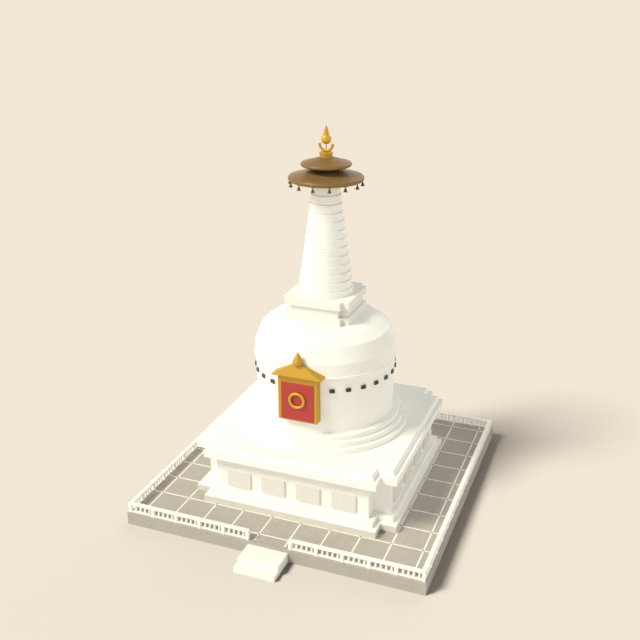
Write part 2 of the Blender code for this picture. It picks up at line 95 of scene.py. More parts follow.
# Balustrade. Its balusters are a count in each bay, the first one's place and their spacing.
RAIL_OUTER = 14.29
RAIL_WIDTH = 0.24
RAIL_LIFT = 0.02
SILL_HEIGHT = 0.16
CAP_HEIGHT = 0.19
CAP_OVERHANG = 0.03
CAP_INNER_LIP = 0.10
CAP_EDGE = 0.045
RAIL_HEIGHT = 0.97
POST_WIDTH = 0.30
POST_RISE = 0.035
POST_PROUD = 0.006
GATE_HALF_WIDTH = 1.92
GATE_RAIL_GAP = 0.02
SIDE_RAIL_GAP = 0.001
FRONT_BAYS = 5
FRONT_BALUSTERS = (4, 0.595, 0.474)
SIDE_BAYS = 14
SIDE_BALUSTERS = (3, 0.58, 0.431)
BALUSTER_SIDES = 16
BALUSTER_SHAPE = (
    (0.103, 0.00), (0.103, 0.10), (0.078, 0.16), (0.090, 0.24), (0.108, 0.36),
    (0.102, 0.50), (0.082, 0.66), (0.074, 0.78), (0.088, 0.84), (0.100, 0.88), (0.100, 1.0),
)

# Plinth: insets are from the outline of its foot. A profile runs in by PLINTH_COVER at each end.
ARM_OUT = 10.09
ARM_HALF = 8.60
MOULDING_INSET = 0.465
WAIST_INSET = 1.00
CORNICE_INSET = 0.115
UPPER_SLAB_INSETS = (0.45, 0.64)
FOOT_WASH = 0.06
FOOT_LIP = 0.012
PLINTH_COVER = 4 * SOFT_EDGE
PLATE_COUNT = 4
PLATE_WIDTH = 2.36
PLATE_PITCH = 3.49
PLATE_BOTTOM = 2.97
PLATE_TOP = 4.63
PLATE_PROUD = 0.17
PLATE_BURIED = 0.1
PLATE_EDGE = 0.018

# Round body. Profiles are points of radius and height.
COURSE_COUNT = 3
COURSE_CAD_SIDES = 48      # the solids are cut to so many flat sides
COURSE_LEDGE = 0.3
COURSE_EDGE = 0.05
DRUM_PROFILE = ((6.60, 8.78), (6.68, 11.7), (6.76, 14.38))
SHOULDER_PROFILE = (
    (6.70, 14.38), (6.91, 14.38), (6.91, 14.50), (6.84, 14.54), (6.76, 15.71), (6.15, 17.15))
SHOULDER_EDGE = 0.025
DOME_PROFILE = (
    (6.15, 17.15), (5.52, 17.65), (5.12, 17.92), (4.70, 18.12), (4.05, 18.25), (3.30, 18.30))
CURVE_STEPS = 6
DOME_STEPS = 5
BODY_SIDES = 128
VENT_COUNT = 28
VENT_Z = 13.14
VENT_WIDTH = 0.46
VENT_HEIGHT = 0.34
VENT_REACH = 6.88
VENT_ROOT = 6.60
VENT_FRAME = 0.055
VENT_DEPTH = 0.07
VENT_EDGE = 0.008
VENT_BACK_INSET = 0.01
VENT_BACK_EDGE = 0.004
LOUVRE_COUNT = 3
LOUVRE_HALF_DEPTH = 0.035
LOUVRE_HALF_THICK = 0.006
LOUVRE_EDGE = 0.003
LOUVRE_END_GAP = 0.02
LOUVRE_SET_BACK = 0.045
LOUVRE_TILT_DEG = 35
NICHE_CLEAR_DEG = 20

# Niche. The spike's shape is points of its share of the radius and of the rise.
NICHE_BURIED = 5.9
NICHE_EDGE = 0.03
PANEL_SET_BACK = 0.085
PANEL_BURIED = 0.02
PANEL_EDGE = 0.022
RING_RADIUS = 0.683
RING_TUBE = 0.128
RING_STEPS = 72
TUBE_SIDES = 24
ROOF_BACK = 6.43
ROOF_FLAT_SHARE = 0.184
ROOF_UNDER_SHARE = 0.97
ROOF_EAVE = 0.08
ROOF_EAVE_EDGE = 0.02
ROOF_HIP_EDGE = 0.03
SPIKE_SINK = 0.03
SPIKE_SHAPE = (
    (0.68, 0.02), (0.89, 0.09), (0.93, 0.18), (0.84, 0.34), (0.58, 0.57), (0.28, 0.80), (0.05, 0.98))
TIP_RADIUS = 0.012
TIP_SIDES = 48

# Block and spire.
BLOCK_OUT = 3.21
BLOCK_HALF = 2.57
BLOCK_WAIST_INSET = 0.26
BLOCK_BURIED = 17.6
BLOCK_COVER = 0.2
BLOCK_EDGE = 0.03
SPIRE_RINGS = 13
SPIRE_FIRST_TOP = 21.04
SPIRE_PITCH = 0.7955
SPIRE_RADII = (2.57, 1.28)
GROOVE_DEPTH = 0.06
GROOVE_HEIGHT = 0.03
NECK_RADIUS = 1.20
SPIRE_EDGE = 0.022
SPIRE_SIDES = 96

# Canopies and bells. The bell's shape is points of its share of the radius and of the height.
CANOPY_SIDES = 144
CANOPY_CAD_SIDES = 42
CANOPY_UNDER_SHARE = 0.8
RIM_STEPS = 12
CONE_STEPS = 4
LOWER_RIM = 0.22
LOWER_NECK_RADIUS = 1.25
LOWER_CONE_TOP = 31.96
NECK_SINK = 0.1
NECK_COLLAR = (0.06, 0.09)
NECK_SET_BACK = 0.06
UPPER_RIM = 0.165
UPPER_FLAT_RADIUS = 0.60
BELL_COUNT = 14
BELL_PATH_RADIUS = 3.32
BELL_RADIUS = 0.19
BELL_HEIGHT = 0.31
BELL_WALL = 0.022
BELL_LIP = 0.004
BELL_SIDES = 40
BELL_CROWN = ((0.012, 0.0), (0.050, 0.006))
BELL_SHAPE = (
    (0.20, 0.0), (0.33, 0.06), (0.47, 0.22), (0.62, 0.48), (0.76, 0.72), (0.89, 0.90), (1.0, 1.0))
BELL_STEPS = 4
BELL_HOLLOW_START = 6      # the hollow follows the outside from its point of this number
BELL_BAND_SHARE = 0.30
BELL_BAND_RADIUS = 0.107
BELL_BAND_DEPTH = 0.022
BELL_BAND_HALF = 0.008
BELL_BAND_SLOPE = 0.003
HINGE_DROP = 0.06
STAPLE_SINK = 0.05
STAPLE_HALF = 0.075
STAPLE_LEG = (0.018, 0.016)
STAPLE_FOOT = 0.03
STAPLE_EDGE = 0.006
BAR_RADIUS = 0.019
BAR_SIDES = 16
LOOP_RADIUS = 0.034
LOOP_TUBE = 0.012
LOOP_STEPS = 28
LOOP_SIDES = 10
LOOP_BURIED = 0.004

# Finial.
FINIAL_SIDES = 64
COLLAR_RADIUS = 0.565
COLLAR_RING_RADIUS = 0.62
COLLAR_MID = 33.36
COLLAR_LEDGE = 0.05
COLLAR_SINK = 0.02
COLLAR_RING_RISE = 0.02
COLLAR_TOP_SLOPE = 0.03
COLLAR_TOP_RADIUS = 0.2
MOON_RADIUS = 0.63
MOON_TUBE = 0.122
MOON_STEPS = 48
STEM_RADIUS = 0.058
STEM_SINK = 0.01
SUN_RADIUS = 0.468
SUN_Z = 34.70
SUN_STEPS = 32
FLAME_BASE_RADIUS = 0.27
FLAME_SINK = 0.004
FLAME_SHAPE = ((1.0, 0.0), (0.84, 0.25), (0.66, 0.5), (0.44, 0.75), (0.20, 0.94))

# Colours. A stone is its colour, its darker colour, the size of its patches and of its grain,
# the contrast of the patches and the depth of the tooling. A bronze is its colour and roughness.
WALL_WHITE = (0.90, 0.885, 0.835)
BLOCK_CREAM = (0.79, 0.78, 0.73)
STONES = {
    "pale_carved_stone": ((0.90, 0.885, 0.83), (0.85, 0.835, 0.78), 0.6, 0.010, 0.5, 0.0016),
    "plate_stone": ((0.745, 0.71, 0.655), (0.72, 0.686, 0.63), 0.9, 0.012, 0.4, 0.002),
    "foot_stone": ((0.70, 0.665, 0.60), (0.66, 0.625, 0.565), 1.1, 0.012, 0.5, 0.003),
    "facing_stone": ((0.436, 0.402, 0.358), (0.39, 0.36, 0.32), 1.4, 0.014, 0.5, 0.004),
    "band_stone": ((0.89, 0.855, 0.785), (0.84, 0.805, 0.735), 0.5, 0.010, 0.5, 0.0012),
    "inlay_stone": ((0.29, 0.265, 0.225), (0.24, 0.22, 0.19), 0.3, 0.010, 0.5, 0.0012),
    "mortar": ((0.34, 0.31, 0.265), (0.28, 0.255, 0.22), 0.3, 0.006, 0.5, 0.002),
}
PAVER_TONES = ((0.458, 0.419, 0.380), (0.432, 0.395, 0.356))
PAVER_SPECK = (0.34, 0.31, 0.275)
GILT = (0.545, 0.312, 0.030)
# A lighter copy of the gilt for the ball and the niche's ring: painted light, standing for the brighter
# light they catch.
GILT_WITH_PAINTED_LIGHT = (0.66, 0.38, 0.038)
CANOPY_BRONZE = ((0.262, 0.153, 0.060), 0.45)
BELL_BRONZE = ((0.120, 0.090, 0.042), 0.50)
# Near-black bronze for the canopy neck and the bell staples: painted shade, standing for the deep shadow
# under the upper canopy.
NECK_SHADE_BRONZE = ((0.060, 0.032, 0.009), 0.60)
LACQUER_RED = (0.44, 0.034, 0.025)
LACQUER_DEEP = (0.37, 0.027, 0.021)
LACQUER_GRAIN = (0.30, 0.020, 0.016)
IRON = (0.112, 0.104, 0.088)
IRON_RUST = (0.140, 0.112, 0.082)


class Recipe:
    """A Principled material, with short ways to add procedural texture to it."""

    def __init__(self, name, roughness=0.6, metallic=0.0):
        self.material = bpy.data.materials.new(name)
        self.material.use_nodes = True
        self.tree = self.material.node_tree
        self.shader = self.tree.nodes["Principled BSDF"]
        self.shader.inputs["Roughness"].default_value = roughness
        self.shader.inputs["Metallic"].default_value = metallic
        self.place = self.tree.nodes.new("ShaderNodeTexCoord").outputs["Object"]

    def node(self, kind, inputs=(), **values):
        made = self.tree.nodes.new(kind)
        for name, value in values.items():
            setattr(made, name, value)
        for socket, value in dict(inputs).items():
            self.feed(made.inputs[socket], value)
        return made

    def feed(self, socket, value):
        if isinstance(value, bpy.types.NodeSocket):
            self.tree.links.new(value, socket)
        else:
            socket.default_value = value

    def stretched(self, scale):
        """Object coordinates, scaled apart along X, Y and Z."""
        mapping = self.node("ShaderNodeMapping", {"Vector": self.place})
        mapping.inputs["Scale"].default_value = scale
        return mapping.outputs["Vector"]

    def noise(self, size, detail=4.0, roughness=0.55, stretch=None):
        """Soft noise whose features are about size metres wide."""
        vector = self.stretched(stretch) if stretch else self.place
        made = self.node("ShaderNodeTexNoise", {
            "Vector": vector, "Scale": 1.0 / size, "Detail": detail, "Roughness": roughness})
        return made.outputs["Fac"]

    def cells(self, size):
        """Distance to the nearest of many scattered points, for pits and hammer marks."""
        made = self.node("ShaderNodeTexVoronoi", {"Vector": self.place, "Scale": 1.0 / size})
        return made.outputs["Distance"]

    def spread(self, value, low, high, out_low=0.0, out_high=1.0):
        made = self.node("ShaderNodeMapRange", {
            "Value": value, "From Min": low, "From Max": high, "To Min": out_low, "To Max": out_high})
        return made.outputs["Result"]

    def math(self, operation, a, b):
        return self.node("ShaderNodeMath", {0: a, 1: b}, operation=operation).outputs[0]

    def mix(self, factor, a, b):
        made = self.node("ShaderNodeMix", data_type="RGBA")
        for socket, value in ((0, factor), (6, a), (7, b)):
            if isinstance(value, tuple):
                value = (*value, 1.0)
            self.feed(made.inputs[socket], value)
        return made.outputs[2]

    def mask(self, low, high, size, detail=4.0, roughness=0.55, stretch=None):
        """Noise that is 0 up to low and 1 from high."""
        return self.spread(self.noise(size, detail, roughness, stretch), low, high)

    def tint(self, base, mask, share, colour):
        """The base with up to share of the colour where the mask is 1."""
        return self.mix(self.math("MULTIPLY", mask, share), base, colour)

    def colour(self, value):
        self.feed(self.shader.inputs["Base Color"], value)

    def rough(self, mask, low, high):
        """Roughness from low, where the mask is 0, to high, where it is 1."""
        self.feed(self.shader.inputs["Roughness"], self.spread(mask, 0.0, 1.0, low, high))

    def coat(self, weight, roughness):
        self.shader.inputs["Coat Weight"].default_value = weight
        self.shader.inputs["Coat Roughness"].default_value = roughness

    def relief(self, height, depth, below=None):
        """Bump of the given depth in metres, laid over another one if given."""
        made = self.node("ShaderNodeBump", {"Height": height, "Distance": depth, "Strength": 1.0})
        if below is not None:
            self.feed(made.inputs["Normal"], below)
        return made.outputs["Normal"]

    def finish(self, normal):
        self.feed(self.shader.inputs["Normal"], normal)
        return self.material


def shade(colour, share):
    return tuple(channel * share for channel in colour)


def lime_wash(name, white):
    """Brushed lime wash on plaster: broad faint patches, faint rain streaks, brush marks and grain."""
    recipe = Recipe(name, 0.82)
    patches = recipe.mask(0.40, 0.66, size=2.6, detail=5.0)
    streaks = recipe.mask(0.56, 0.76, size=0.30, roughness=0.6, stretch=(1.0, 1.0, 0.10))
    wash = recipe.mix(patches, white, shade(white, 0.965))
    recipe.colour(recipe.tint(wash, streaks, 0.22, shade(white, 0.85)))
    recipe.rough(patches, 0.78, 0.88)
    broad = recipe.relief(recipe.noise(0.9, 3.0), 0.006)
    brushed = recipe.relief(recipe.noise(0.035, 3.0, 0.6, (1.0, 1.0, 0.35)), 0.0016, broad)
    return recipe.finish(recipe.relief(recipe.noise(0.008, 2.0), 0.0006, brushed))


def stone(name):
    """Matt stone: soft patches, mineral speckle, tooled relief and fine pits."""
    colour, dark, patch, grain, contrast, tooling = STONES[name]
    recipe = Recipe(name, 0.8)
    patches = recipe.mask(0.36, 0.68, size=patch, detail=5.0)
    speckle = recipe.mask(0.45, 0.72, size=grain, detail=3.0, roughness=0.7)
    base = recipe.tint(colour, patches, contrast, dark)
    recipe.colour(recipe.tint(base, speckle, 0.35, shade(dark, 0.82)))
    recipe.rough(patches, 0.74, 0.88)
    tooled = recipe.relief(recipe.noise(0.05, 4.0, 0.6), tooling)
    return recipe.finish(recipe.relief(recipe.cells(0.009), 0.0009, tooled))


def paver_stone():
    """Grey-beige paving: each paver has its own tone, with fine speckle and a trodden, smoother face."""
    tone_a, tone_b = PAVER_TONES
    recipe = Recipe("paving_stone", 0.78)
    pitch = CELL / PAVERS_PER_CELL

    def vector(operation, *values):
        return recipe.node("ShaderNodeVectorMath", enumerate(values), operation=operation).outputs[0]

    place = vector("DIVIDE", vector("ADD", recipe.place, (CELL / 2,) * 3), (pitch,) * 3)
    flat = vector("MULTIPLY", vector("FLOOR", place), (1.0, 1.0, 0.0))
    tone = recipe.node("ShaderNodeTexWhiteNoise", {"Vector": flat}).outputs["Value"]
    own = recipe.tint(tone_a, tone, 0.55, tone_b)
    clouds = recipe.mask(0.4, 0.7, size=0.5, detail=5.0, roughness=0.6)
    worn = recipe.tint(own, clouds, 0.35, shade(tone_b, 0.92))
    speckle = recipe.mask(0.5, 0.75, size=0.010, detail=2.0, roughness=0.7)
    recipe.colour(recipe.tint(worn, speckle, 0.4, PAVER_SPECK))
    recipe.rough(clouds, 0.70, 0.86)
    sawn = recipe.relief(recipe.noise(0.04, 4.0, 0.6), 0.0014)
    return recipe.finish(recipe.relief(recipe.cells(0.007), 0.0007, sawn))


def gilding(name, colour):
    """Gilded sheet: softly beaten, with thinner, browner leaf in patches."""
    recipe = Recipe(name, 0.50, 0.35)
    recipe.coat(0.06, 0.25)
    patches = recipe.mask(0.42, 0.72, size=0.45, detail=5.0, roughness=0.6)
    fine = recipe.mask(0.4, 0.75, size=0.03, detail=3.0, roughness=0.6)
    leaf = recipe.tint(colour, patches, 0.35, shade(colour, 0.91))
    recipe.colour(recipe.tint(leaf, fine, 0.18, shade(colour, 0.85)))
    recipe.rough(fine, 0.46, 0.58)
    waves = recipe.relief(recipe.noise(0.35, 2.0), 0.004)
    return recipe.finish(recipe.relief(recipe.cells(0.05), 0.0008, waves))


def bronze(name, colour, roughness):
    """Brown bronze sheet: darker patina in clouds, fine mottling and small dents."""
    recipe = Recipe(name, roughness, 0.20)
    recipe.shader.inputs["Specular IOR Level"].default_value = 0.05
    recipe.coat(0.16, 0.16)
    clouds = recipe.mask(0.38, 0.70, size=0.55, detail=5.0, roughness=0.6)
    fine = recipe.mask(0.42, 0.74, size=0.04, roughness=0.65)
    base = recipe.tint(colour, clouds, 0.55, shade(colour, 0.80))
    recipe.colour(recipe.tint(base, fine, 0.25, shade(colour, 0.62)))
    recipe.rough(fine, roughness - 0.05, roughness + 0.08)
    waves = recipe.relief(recipe.noise(0.4, 2.0), 0.003)
    return recipe.finish(recipe.relief(recipe.cells(0.045), 0.0006, waves))


def lacquer():
    """Red lacquer on boards: deep, slightly uneven, with faint upright grain under a thin gloss."""
    recipe = Recipe("red_lacquer", 0.45)
    recipe.coat(0.25, 0.25)
    grain = recipe.mask(0.4, 0.7, size=0.03, roughness=0.6, stretch=(1.0, 1.0, 0.06))
    clouds = recipe.mask(0.4, 0.7, size=0.7)
    base = recipe.tint(LACQUER_RED, clouds, 0.4, LACQUER_DEEP)
    recipe.colour(recipe.tint(base, grain, 0.22, LACQUER_GRAIN))
    recipe.rough(grain, 0.40, 0.52)
    return recipe.finish(recipe.relief(grain, 0.0008))


def vent_iron():
    """Weathered dark iron of the vents."""
    recipe = Recipe("vent_iron", 0.6, 0.35)
    rust = recipe.mask(0.45, 0.72, size=0.06, detail=5.0, roughness=0.65)
    recipe.colour(recipe.mix(rust, IRON, IRON_RUST))
    recipe.rough(rust, 0.5, 0.75)
    return recipe.finish(recipe.relief(recipe.noise(0.012, 3.0), 0.0008))


def floor_paper():
    """Plain pale floor with the faintest paper tooth."""
    recipe = Recipe("studio_floor", 0.95)
    recipe.shader.inputs["Specular IOR Level"].default_value = 0.0
    recipe.colour(recipe.tint(FLOOR_COLOUR, recipe.noise(0.8, 2.0), 0.02, shade(FLOOR_COLOUR, 0.97)))
    return recipe.material


def merge(parts):
    """One vertex and face list from several."""
    vertices = []
    faces = []
    for part_vertices, part_faces in parts:
        start = len(vertices)
        vertices.extend(part_vertices)
        faces.extend([tuple(start + i for i in face) for face in part_faces])
    return vertices, faces


def moved(mesh, place):
    """The mesh with each of its points put through place."""
    vertices, faces = mesh
    return [place(Vector(v)) for v in vertices], faces


def shifted(mesh, x=0.0, y=0.0, z=0.0):
    vertices, faces = mesh
    return [(vx + x, vy + y, vz + z) for vx, vy, vz in vertices], faces


def rectangle(x0, y0, x1, y1):
    """Corners in plan, counterclockwise."""
    return [(x0, y0), (x1, y0), (x1, y1), (x0, y1)]


def at_level(plan, z):
    return [(x, y, z) for x, y in plan]


def turn_by(quarters):
    """Quarter turns about Z, for what repeats on the four sides."""
    def place(v):
        x, y = v.x, v.y
        for _ in range(quarters):
            x, y = -y, x
        return (x, y, v.z)
    return place


def around(angle, radius=0.0, z=0.0):
    """Turn local X outwards at the given angle, then move out by radius and up by z."""
    cos_a = math.cos(angle)
    sin_a = math.sin(angle)

    def place(v):
        x = v.x + radius
        return (x * cos_a - v.y * sin_a, x * sin_a + v.y * cos_a, v.z + z)
    return place


def ring_stack(rings, loop=False):
    """A closed body through rings of equal length, or a closed loop of them."""
    count = len(rings[0])
    levels = len(rings)
    vertices = [point for ring in rings for point in ring]
    faces = []
    for level in range(levels if loop else levels - 1):
        low = level * count
        high = (level + 1) % levels * count
        for i in range(count):
            j = (i + 1) % count
            faces.append((low + i, low + j, high + j, high + i))
    if not loop:
        faces.append(tuple(range(count - 1, -1, -1)))
        top = (levels - 1) * count
        faces.append(tuple(range(top, top + count)))
    return vertices, faces


def fillet(points, radius, steps=3, closed=False):
    """The same outline with each corner rounded; short edges get a smaller radius."""
    rounded = []
    count = len(points)
    for i, point in enumerate(points):
        if not closed and i in (0, count - 1):
            rounded.append(tuple(point))
            continue
        here = Vector(point)
        back = Vector(points[i - 1]) - here
        on = Vector(points[(i + 1) % count]) - here
        half = back.angle(on) / 2
        reach = min(radius / math.tan(half), back.length * CORNER_SHARE, on.length * CORNER_SHARE)
        size = reach * math.tan(half)
        centre = here + (back.normalized() + on.normalized()).normalized() * size / math.sin(half)
        first = here + back.normalized() * reach - centre
        last = here + on.normalized() * reach - centre
        sweep = math.pi - 2 * half
        for k in range(steps + 1):
            share = math.sin(sweep * (1 - k / steps)) / math.sin(sweep)
            other = math.sin(sweep * k / steps) / math.sin(sweep)
            rounded.append(tuple(centre + first * share + last * other))
    return rounded


def circle(radius, sides):
    """Points round a circle in plan."""
    angles = [2 * math.pi * i / sides for i in range(sides)]
    return [(radius * math.cos(angle), radius * math.sin(angle)) for angle in angles]


def revolve(profile, sides, edge=0.0, steps=3):
    """A body turned about Z from (radius, height) points, its corners rounded by edge."""
    shape = fillet(profile, edge, steps) if edge else profile
    return ring_stack([at_level(circle(radius, sides), z) for radius, z in shape])


def smooth_curve(points, steps):
    """A smooth line through points of two numbers."""
    padded = [points[0], *points, points[-1]]
    line = []
    for i in range(1, len(padded) - 2):
        p0, p1, p2, p3 = (Vector(p) for p in padded[i - 1:i + 3])
        for k in range(steps):
            t = k / steps
            line.append(tuple(0.5 * (
                2 * p1 + (p2 - p0) * t
                + (2 * p0 - 5 * p1 + 4 * p2 - p3) * t ** 2
                + (3 * p1 - p0 - 3 * p2 + p3) * t ** 3)))
    line.append(tuple(points[-1]))
    return line


def stepped_outline(out, half, edge):
    """Square outline with one set-back in every corner, its corners rounded by edge."""
    points = []
    for turn in range(4):
        for x, y in ((out, -half), (out, half), (half, half)):
            for _ in range(turn):
                x, y = -y, x
            points.append((x, y))
    return fillet(points, edge, steps=2, closed=True)


def stepped_solid(out, half, profile, edge=SOFT_EDGE):
    """A stepped block whose side runs along profile, as (inset, height) points."""
    return ring_stack([
        at_level(stepped_outline(out - inset, half - inset, edge), z)
        for inset, z in fillet(profile, edge)])


def soft_box(low, high, edge, steps=2):
    """A box with all its edges rounded."""
    x0, y0, z0 = low
    x1, y1, z1 = high
    rings = []
    for inset, z in fillet([(edge * 2, z0), (0.0, z0), (0.0, z1), (edge * 2, z1)], edge, steps):
        plan = rectangle(x0 + inset, y0 + inset, x1 - inset, y1 - inset)
        rings.append(at_level(fillet(plan, edge, steps, closed=True), z))
    return ring_stack(rings)


def cut_stone(low, high, edge, upright=False):
    """A squared stone, chamfered round its top and bottom and, if upright, down its corners too."""
    x0, y0, z0 = low
    x1, y1, z1 = high
    rings = []
    for inset, z in ((edge, z0), (0.0, z0 + edge), (0.0, z1 - edge), (edge, z1)):
        a0, a1, b0, b1 = x0 + inset, x1 - inset, y0 + inset, y1 - inset
        plan = rectangle(a0, b0, a1, b1)
        if upright:
            plan = [(a0 + edge, b0), (a1 - edge, b0), (a1, b0 + edge), (a1, b1 - edge),
                    (a1 - edge, b1), (a0 + edge, b1), (a0, b1 - edge), (a0, b0 + edge)]
        rings.append(at_level(plan, z))
    return ring_stack(rings)


def torus(radius, tube, steps, sides, start=0.0, end=2 * math.pi, whole=True):
    """A bent tube in the XZ plane: whole, or with capped ends."""
    rings = []
    for i in range(steps if whole else steps + 1):
        angle = start + (end - start) * i / steps
        rings.append([
            ((radius + out) * math.cos(angle), y, (radius + out) * math.sin(angle))
            for out, y in circle(tube, sides)])
    return ring_stack(rings, whole)


def level_shading(obj):
    """Let broad faces set the shading, so that only their rounded edges turn the light."""
    modifier = obj.modifiers.new("level_shading", "WEIGHTED_NORMAL")
    modifier.keep_sharp = True
    shaded = bpy.data.meshes.new_from_object(obj.evaluated_get(bpy.context.evaluated_depsgraph_get()))
    obj.modifiers.clear()
    obj.data = shaded


def piece(name, mesh_data, material, replaced=(), body=TOWER, level=True):
    """A shown piece that rides on a body and stands for the nodes it replaces."""
    vertices, faces = mesh_data
    mesh = bpy.data.meshes.new(name)
    mesh.from_pydata([tuple(v) for v in vertices], [], faces)
    bm = bmesh.new()
    bm.from_mesh(mesh)
    bmesh.ops.recalc_face_normals(bm, faces=bm.faces)
    bm.to_mesh(mesh)
    bm.free()
    mesh.shade_smooth()
    mesh.set_sharp_from_angle(angle=math.radians(SHARP_DEG))
    mesh.materials.append(material)
    obj = bpy.data.objects.new(name, mesh)
    bpy.context.scene.collection.objects.link(obj)
    if level:
        level_shading(obj)
    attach(obj, body)
    if replaced:
        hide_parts(*replaced)


def span(node):
    """Lowest and highest level of a node."""
    low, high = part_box(node)
    return low.z, high.z


def terrace_facing(material):
    """Three courses of squared blocks in broken bond; the top one is the kerb of the deck."""
    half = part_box("terrace")[1].x
    joint = FACING_JOINT
    blocks = []
    for side in range(4):
        reach = half if side % 2 == 0 else half - KERB_WIDTH - joint
        count = round(2 * reach / FACING_LENGTH)
        length = 2 * reach / count
        for course, (low, high) in enumerate(zip(FACING_COURSES, FACING_COURSES[1:])):
            shift = 0.5 if course % 2 else 0.0
            cuts = [-reach] + [-reach + (k + shift) * length for k in range(count + 1)] + [reach]
            cuts = sorted({round(min(max(x, -reach), reach), 4) for x in cuts})
            for x0, x1 in zip(cuts, cuts[1:]):
                start = x0 if x0 == -reach else x0 + joint / 2
                end = x1 if x1 == reach else x1 - joint / 2
                block_low = (start, -half, low + (joint if course else 0.0))
                block_high = (end, -half + KERB_WIDTH, high)
                mesh = cut_stone(block_low, block_high, FACING_EDGE, upright=True)
                blocks.append(moved(mesh, turn_by(side)))
    piece("terrace_facing", merge(blocks), material, ["terrace"])


def terrace_core(material):
    """Mortar and fill, seen only in the joints."""
    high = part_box("terrace")[1]
    out = high.x - MORTAR_SET_BACK
    inner = high.x - KERB_WIDTH - FACING_JOINT / 2
    top = high.z - PAVER_THICK + PAVER_EDGE
    step = high.z - MORTAR_SET_BACK
    side = ((out, CORE_LIFT), (out, step), (inner, step), (inner, top))
    rings = [at_level(rectangle(-half, -half, half, half), z) for half, z in side]
    piece("terrace_core", ring_stack(rings), material)


def grid_lines():
    return [(k + 0.5) * CELL for k in range(-CELL_LINES, CELL_LINES)]


def deck_pavers(material):
    """Pavers between the bands, left out under the plinth."""
    deck = span("terrace")[1]
    lines = [-BAND_REACH] + grid_lines() + [BAND_REACH]
    runs = []
    for i, (a, b) in enumerate(zip(lines, lines[1:])):
        start = a + (BAND_WIDTH / 2 if i else 0.0)
        end = b - (BAND_WIDTH / 2 if i < len(lines) - 2 else 0.0)
        count = max(1, round(PAVERS_PER_CELL * (end - start) / CELL))
        length = (end - start) / count
        runs.extend((start + k * length, start + (k + 1) * length) for k in range(count))
    stones = []
    gap = PAVER_JOINT / 2
    for x0, x1 in runs:
        for y0, y1 in runs:
            if max(abs(x0), abs(x1)) < DECK_CLEAR and max(abs(y0), abs(y1)) < DECK_CLEAR:
                continue
            low = (x0 + gap, y0 + gap, deck - PAVER_THICK)
            stones.append(cut_stone(low, (x1 - gap, y1 - gap, deck), PAVER_EDGE))
    piece("deck_pavers", merge(stones), material)


def deck_bands(material, inlay_material):
    """Pale bands on the grid, cut into stones at every crossing, with a dark square set in each."""
    deck = span("terrace")[1]
    half = BAND_WIDTH / 2
    gap = PAVER_JOINT / 2
    lines = grid_lines()
    stops = [-BAND_REACH] + lines + [BAND_REACH]
    bands = []
    inlays = []
    for line in lines:
        for i, (a, b) in enumerate(zip(stops, stops[1:])):
            start = a + (half + gap if i else 0.0)
            end = b - (half + gap if i < len(stops) - 2 else 0.0)
            if abs(line) < DECK_CLEAR and max(abs(a), abs(b)) < DECK_CLEAR:
                continue
            stone_mesh = cut_stone(
                (line - half + gap, start, deck - PAVER_THICK),
                (line + half - gap, end, deck), PAVER_EDGE)
            bands.append(stone_mesh)
            bands.append(moved(stone_mesh, turn_by(1)))
        for other in lines:
            if max(abs(line), abs(other)) < DECK_CLEAR:
                continue
            inlay_low = (line - half, other - half, deck - PAVER_THICK)
            inlays.append(cut_stone(inlay_low, (line + half, other + half, deck), PAVER_EDGE))
    piece("deck_bands", merge(bands), material)
    piece("deck_inlays", merge(inlays), inlay_material)


def stair(material):
    """Two thick steps, each laid from three stones."""
    for node in ("stair_step_1", "stair_step_2"):
        low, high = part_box(node)
        width = (high.x - low.x) / STONES_PER_STEP
        stones = []
        for k in range(STONES_PER_STEP):
            start = low.x + k * width + (FACING_JOINT / 2 if k else 0.0)
            end = low.x + (k + 1) * width - (FACING_JOINT / 2 if k < STONES_PER_STEP - 1 else 0.0)
            stones.append(soft_box((start, low.y, low.z), (end, high.y, high.z), FINE_EDGE))
        piece(node.replace("stair", "stone"), merge(stones), material, [node])


def baluster(low, high):
    """A turned baluster between the sill and the cap."""
    shape = [(radius, low + (high - low) * up) for radius, up in smooth_curve(BALUSTER_SHAPE, steps=2)]
    return revolve(shape, BALUSTER_SIDES)


def balustrade(node, ends, posts, bays, balusters, quarters, material, end_posts=True):
    """One run along local X, with its sill, cap, posts and turned balusters."""
    deck = span("terrace")[1]
    half = RAIL_WIDTH / 2
    middle = RAIL_OUTER - half
    cap_half = half + CAP_OVERHANG
    cap_top = deck + RAIL_HEIGHT
    cap_low = cap_top - CAP_HEIGHT
    sill_low = deck + RAIL_LIFT
    sill_top = sill_low + SILL_HEIGHT
    start, end = ends
    cap_inner = -middle + cap_half + CAP_INNER_LIP
    stones = [
        soft_box((start, -middle - half, sill_low), (end, -middle + half, sill_top), FINE_EDGE),
        soft_box((start, -middle - cap_half, cap_low), (end, cap_inner, cap_top), CAP_EDGE),
    ]
    pitch = (posts[1] - posts[0]) / bays
    post_half = POST_WIDTH / 2
    post_deep = cap_half + POST_PROUD
    count, first, step = balusters
    turned = baluster(sill_top - FINE_EDGE, cap_low + FINE_EDGE)
    for bay in range(bays + 1):
        x = posts[0] + bay * pitch
        if end_posts or 0 < bay < bays:
            stones.append(soft_box(
                (x - post_half, -middle - post_deep, deck),
                (x + post_half, -middle + post_deep, cap_top + POST_RISE), FINE_EDGE))
        if bay < bays:
            stones.extend(shifted(turned, x + first + step * k, -middle) for k in range(count))
    mesh = moved(merge(stones), turn_by(quarters))
    piece(node.replace("balustrade", "stone_rail"), mesh, material, [node])


